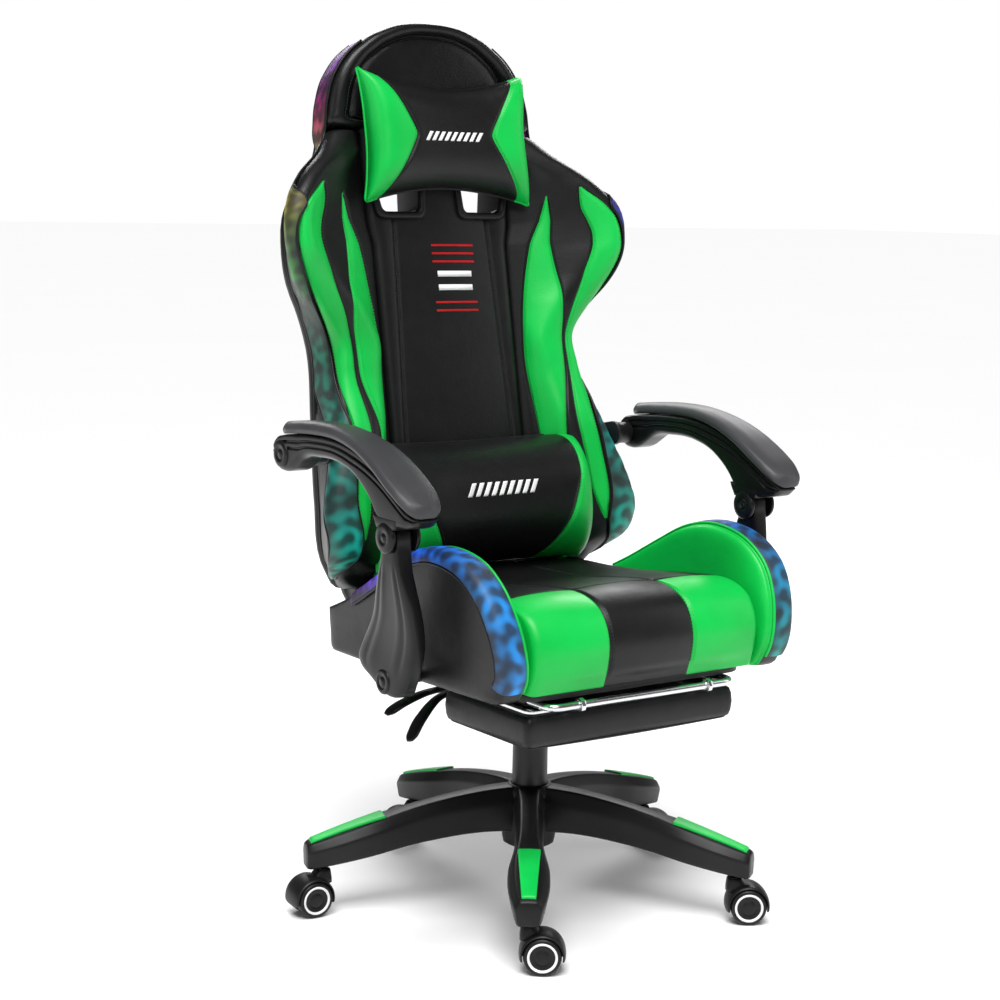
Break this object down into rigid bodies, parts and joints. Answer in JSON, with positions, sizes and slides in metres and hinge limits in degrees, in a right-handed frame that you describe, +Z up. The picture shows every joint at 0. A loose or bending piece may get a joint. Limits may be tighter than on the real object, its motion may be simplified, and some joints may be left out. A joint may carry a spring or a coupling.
{
  "type": "gaming chair",
  "caption": "High-back racing-style gaming chair in black and green, on a star base with twin-wheel casters, with gas lift, reclining back, linked armrests and a pull-out footrest.",
  "frame": {"origin": "on the floor, under the middle of the chair's bounding box", "axes": "+Z up; the chair faces -Y; +X towards the sitter's left"},
  "size_m": [0.6758, 0.6384, 1.2379],
  "materials": {
    "black_leather": "black synthetic leather, soft satin gloss",
    "green_leather": "bright green synthetic leather, soft satin gloss",
    "black_nylon": "glass-filled nylon, satin black",
    "green_plastic": "green plastic insert, satin",
    "wheel_plastic": "white tread ring and face around a black hub cap",
    "black_painted_steel": "black powder coat",
    "zinc_steel": "bright zinc plate",
    "led_band": "woven light band, many colours",
    "arm_pad_skin": "soft self-skinned foam, dark grey"
  },
  "bodies": {
    "base": {"star_base": "black_nylon", "leg_insert_1": "green_plastic", "leg_insert_2": "green_plastic", "leg_insert_3": "green_plastic", "leg_insert_4": "green_plastic", "leg_insert_5": "green_plastic", "gas_lift_cylinder": "black_painted_steel", "gas_lift_bushing": "black_nylon"},
    "lift_rod": {"gas_lift_rod": "zinc_steel"},
    "seat": {"tilt_mechanism": "black_painted_steel", "seat_pan": "black_painted_steel", "side_plate_left": "black_painted_steel", "side_plate_right": "black_painted_steel", "seat_cushion": "black_leather", "seat_wing_left": "green_leather", "seat_wing_right": "green_leather", "seat_led_strip_left": "led_band", "seat_led_strip_right": "led_band", "footrest_guide_left": "black_painted_steel", "footrest_guide_right": "black_painted_steel"},
    "caster_1": {"caster_fork_1": "black_nylon"},
    "wheels_1": {"caster_wheel_1_left": "wheel_plastic", "caster_wheel_1_right": "wheel_plastic"},
    "caster_2": {"caster_fork_2": "black_nylon"},
    "wheels_2": {"caster_wheel_2_left": "wheel_plastic", "caster_wheel_2_right": "wheel_plastic"},
    "caster_3": {"caster_fork_3": "black_nylon"},
    "wheels_3": {"caster_wheel_3_left": "wheel_plastic", "caster_wheel_3_right": "wheel_plastic"},
    "caster_4": {"caster_fork_4": "black_nylon"},
    "wheels_4": {"caster_wheel_4_left": "wheel_plastic", "caster_wheel_4_right": "wheel_plastic"},
    "caster_5": {"caster_fork_5": "black_nylon"},
    "wheels_5": {"caster_wheel_5_left": "wheel_plastic", "caster_wheel_5_right": "wheel_plastic"},
    "height_lever": {"height_lever": "black_nylon"},
    "recline_lever": {"recline_lever": "black_nylon"},
    "footrest_frame": {"footrest_frame": "zinc_steel"},
    "footrest": {"footrest_tray": "zinc_steel", "footrest_pad": "black_leather"},
    "backrest": {"back_frame": "black_painted_steel", "back_cushion": "black_leather", "back_wing_left": "green_leather", "back_wing_right": "green_leather", "back_cover": "black_leather", "back_led_strip_left": "led_band", "back_led_strip_right": "led_band", "harness_bezel_left": "black_nylon", "harness_bezel_right": "black_nylon", "head_pillow": "green_leather", "lumbar_pillow": "green_leather", "arm_mount_left": "black_painted_steel", "arm_mount_right": "black_painted_steel"},
    "armrest_left": {"armrest_body_left": "black_nylon", "armrest_pad_left": "arm_pad_skin"},
    "arm_post_left": {"arm_post_left": "black_nylon"},
    "armrest_right": {"armrest_body_right": "black_nylon", "armrest_pad_right": "arm_pad_skin"},
    "arm_post_right": {"arm_post_right": "black_nylon"}
  },
  "joints": [
    {"name": "gas_lift", "type": "slide", "parent": "base", "child": "lift_rod", "axis": [0, 0, 1], "range_m": [0, 0.08]},
    {"name": "seat_swivel", "type": "hinge", "parent": "lift_rod", "child": "seat", "pos_m": [0, -0.0316, 0.33], "axis": [0, 0, 1], "continuous": true},
    {"name": "caster_swivel_1", "type": "hinge", "parent": "base", "child": "caster_1", "pos_m": [-0.17634, -0.27431, 0.06], "axis": [0, 0, 1], "continuous": true},
    {"name": "wheel_spin_1", "type": "hinge", "parent": "caster_1", "child": "wheels_1", "pos_m": [-0.16096, -0.28547, 0.025], "axis": [0.5878, 0.809, 0], "continuous": true},
    {"name": "caster_swivel_2", "type": "hinge", "parent": "base", "child": "caster_2", "pos_m": [0.17634, -0.27431, 0.06], "axis": [0, 0, 1], "continuous": true},
    {"name": "wheel_spin_2", "type": "hinge", "parent": "caster_2", "child": "wheels_2", "pos_m": [0.19227, -0.28465, 0.025], "axis": [0.5446, 0.8387, 0], "continuous": true},
    {"name": "caster_swivel_3", "type": "hinge", "parent": "base", "child": "caster_3", "pos_m": [0.28532, 0.06111, 0.06], "axis": [0, 0, 1], "continuous": true},
    {"name": "wheel_spin_3", "type": "hinge", "parent": "caster_3", "child": "wheels_3", "pos_m": [0.30177, 0.05161, 0.025], "axis": [0.5, 0.866, 0], "continuous": true},
    {"name": "caster_swivel_4", "type": "hinge", "parent": "base", "child": "caster_4", "pos_m": [0, 0.2684, 0.06], "axis": [0, 0, 1], "continuous": true},
    {"name": "wheel_spin_4", "type": "hinge", "parent": "caster_4", "child": "wheels_4", "pos_m": [-0.01895, 0.26973, 0.025], "axis": [-0.0698, -0.9976, 0], "continuous": true},
    {"name": "caster_swivel_5", "type": "hinge", "parent": "base", "child": "caster_5", "pos_m": [-0.28532, 0.06111, 0.06], "axis": [0, 0, 1], "continuous": true},
    {"name": "wheel_spin_5", "type": "hinge", "parent": "caster_5", "child": "wheels_5", "pos_m": [-0.30427, 0.06243, 0.025], "axis": [-0.0698, -0.9976, 0], "continuous": true},
    {"name": "height_lever_lift", "type": "hinge", "parent": "seat", "child": "height_lever", "pos_m": [-0.036, -0.0276, 0.319], "axis": [0, 1, 0], "range_deg": [0, 6], "stiffness_Nm_per_rad": 1.2, "springref_deg": -6.88},
    {"name": "recline_lever_lift", "type": "hinge", "parent": "seat", "child": "recline_lever", "pos_m": [-0.036, -0.0516, 0.319], "axis": [0, 1, 0], "range_deg": [0, 6], "stiffness_Nm_per_rad": 1.2, "springref_deg": -6.88},
    {"name": "footrest_slide", "type": "slide", "parent": "seat", "child": "footrest_frame", "axis": [0, -1, 0], "range_m": [0, 0.25]},
    {"name": "footrest_flip", "type": "hinge", "parent": "footrest_frame", "child": "footrest", "pos_m": [0, -0.2836, 0.3455], "axis": [-1, 0, 0], "range_deg": [0, 180]},
    {"name": "recline", "type": "hinge", "parent": "seat", "child": "backrest", "pos_m": [0, 0.1584, 0.44], "axis": [-1, 0, 0], "range_deg": [-9, 35]},
    {"name": "armrest_pivot_left", "type": "hinge", "parent": "backrest", "child": "armrest_left", "pos_m": [0.302, 0.1144, 0.638], "axis": [-1, 0, 0], "range_deg": [-35, 9]},
    {"name": "arm_post_pivot_left", "type": "hinge", "parent": "seat", "child": "arm_post_left", "pos_m": [0.302, -0.1056, 0.362], "axis": [-1, 0, 0], "range_deg": [-9, 35]},
    {"name": "armrest_pivot_right", "type": "hinge", "parent": "backrest", "child": "armrest_right", "pos_m": [-0.302, 0.1144, 0.638], "axis": [-1, 0, 0], "range_deg": [-35, 9]},
    {"name": "arm_post_pivot_right", "type": "hinge", "parent": "seat", "child": "arm_post_right", "pos_m": [-0.302, -0.1056, 0.362], "axis": [-1, 0, 0], "range_deg": [-9, 35]}
  ],
  "couplings": [
    {"joint": "armrest_pivot_left", "follows": "recline", "ratio": -1},
    {"joint": "arm_post_pivot_left", "follows": "recline", "ratio": 1},
    {"joint": "armrest_pivot_right", "follows": "recline", "ratio": -1},
    {"joint": "arm_post_pivot_right", "follows": "recline", "ratio": 1}
  ]
}
